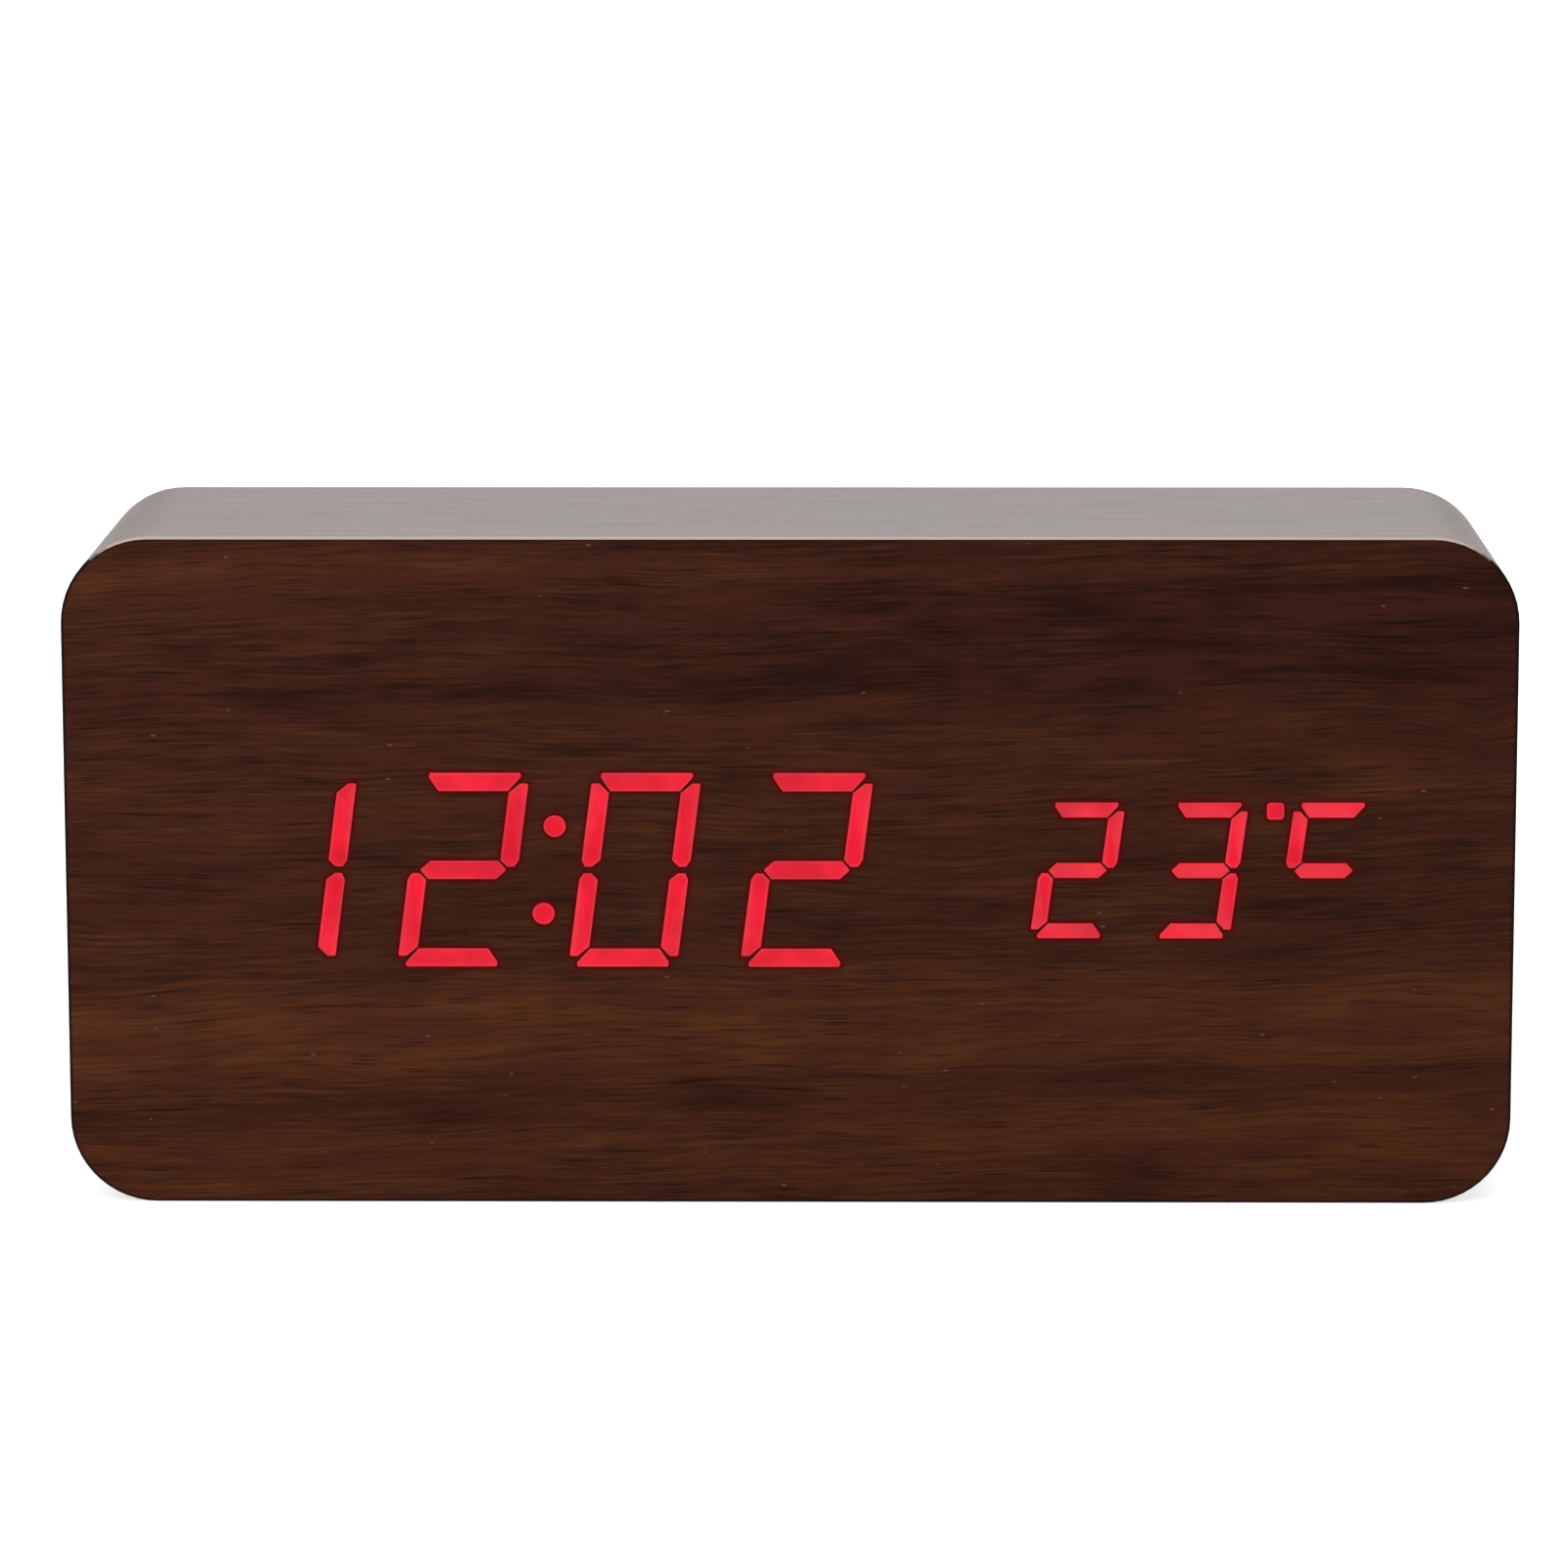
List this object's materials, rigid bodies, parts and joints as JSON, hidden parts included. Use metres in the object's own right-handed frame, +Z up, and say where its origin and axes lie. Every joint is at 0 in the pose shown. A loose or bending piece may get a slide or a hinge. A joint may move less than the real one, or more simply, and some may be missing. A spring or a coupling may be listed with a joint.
{
  "type": "digital desk clock",
  "caption": "Wooden block desk clock with rounded corners, red seven-segment time and temperature glowing through the veneer, and a recessed black rear panel.",
  "frame": {"origin": "centre of the clock's base, on the surface it stands on", "axes": "+X to the right seen from the front, +Y from the front face to the back, +Z up"},
  "size_m": [0.15, 0.04, 0.07],
  "materials": {
    "walnut_film": "satin dark walnut grain",
    "fibreboard": "matt, cut fibreboard",
    "lit_film": "walnut film lit from behind by red lamps",
    "mask_film": "matt black film",
    "diffuser_film": "milky film",
    "white_plastic": "white moulded plastic",
    "lamp": "clear resin over a red die",
    "circuit_board": "green solder mask",
    "nylon": "natural nylon",
    "screw_steel": "blackened or zinc-plated steel",
    "chip_plastic": "moulded black epoxy",
    "connector_plastic": "ivory moulded plastic",
    "ribbon": "grey flat cable",
    "panel_plastic": "finely sparked black plastic",
    "button_plastic": "polished black plastic",
    "plunger_plastic": "white plastic",
    "switch_plastic": "black plastic",
    "contact_metal": "nickel-plated spring steel",
    "can_metal": "bright drawn metal",
    "resistor_ceramic": "dark glazed chip",
    "bead_resin": "dipped dark resin",
    "cell_jacket": "plain printed jacket",
    "red_wire": "red insulation",
    "black_wire": "black insulation"
  },
  "bodies": {
    "case": {"front_veneer": "walnut_film", "side_veneer": "walnut_film", "bottom_veneer": "walnut_film", "rear_rim_veneer": "walnut_film", "case_core": "fibreboard", "lit_time_numerals": "lit_film", "lit_temperature_numerals": "lit_film", "light_mask": "mask_film", "diffuser_sheet": "diffuser_film", "time_reflector": "white_plastic", "temperature_reflector": "white_plastic", "time_lamps": "lamp", "temperature_lamps": "lamp", "display_board": "circuit_board", "control_board": "circuit_board", "board_spacers": "nylon", "display_board_screws": "screw_steel", "control_board_screws": "screw_steel", "rear_panel_screws": "screw_steel", "display_drivers": "chip_plastic", "microcontroller": "chip_plastic", "display_header": "connector_plastic", "control_header": "connector_plastic", "ribbon_plugs": "connector_plastic", "coin_cell_holder": "connector_plastic", "ribbon_cable": "ribbon", "rear_panel": "panel_plastic", "set_switch": "switch_plastic", "up_switch": "switch_plastic", "down_switch": "switch_plastic", "dc_jack": "switch_plastic", "buzzer": "switch_plastic", "dc_jack_contacts": "contact_metal", "battery_contact_plates": "contact_metal", "battery_leaf_springs": "contact_metal", "coin_cell_clip": "contact_metal", "crystal": "can_metal", "microphone": "can_metal", "coin_cell": "can_metal", "capacitor": "can_metal", "resistors": "resistor_ceramic", "temperature_bead": "bead_resin", "battery_cell_1": "cell_jacket", "battery_cell_2": "cell_jacket", "battery_cell_3": "cell_jacket", "red_battery_wire": "red_wire", "red_jack_wire": "red_wire", "black_battery_wire": "black_wire", "black_jack_wire": "black_wire"},
    "set_key": {"set_button": "button_plastic", "set_plunger": "plunger_plastic"},
    "up_key": {"up_button": "button_plastic", "up_plunger": "plunger_plastic"},
    "down_key": {"down_button": "button_plastic", "down_plunger": "plunger_plastic"},
    "door": {"battery_door": "panel_plastic"}
  },
  "joints": [
    {"name": "set_press", "type": "slide", "parent": "case", "child": "set_key", "axis": [0, -1, 0], "range_m": [0, 0.0005], "stiffness_N_per_m": 1500, "springref_m": -0.0005},
    {"name": "up_press", "type": "slide", "parent": "case", "child": "up_key", "axis": [0, -1, 0], "range_m": [0, 0.0005], "stiffness_N_per_m": 1500, "springref_m": -0.0005},
    {"name": "down_press", "type": "slide", "parent": "case", "child": "down_key", "axis": [0, -1, 0], "range_m": [0, 0.0005], "stiffness_N_per_m": 1500, "springref_m": -0.0005},
    {"name": "door_swing", "type": "hinge", "parent": "case", "child": "door", "pos_m": [0.04044, 0.0175, 0.0528], "axis": [1, 0, 0], "range_deg": [0, 60]}
  ]
}
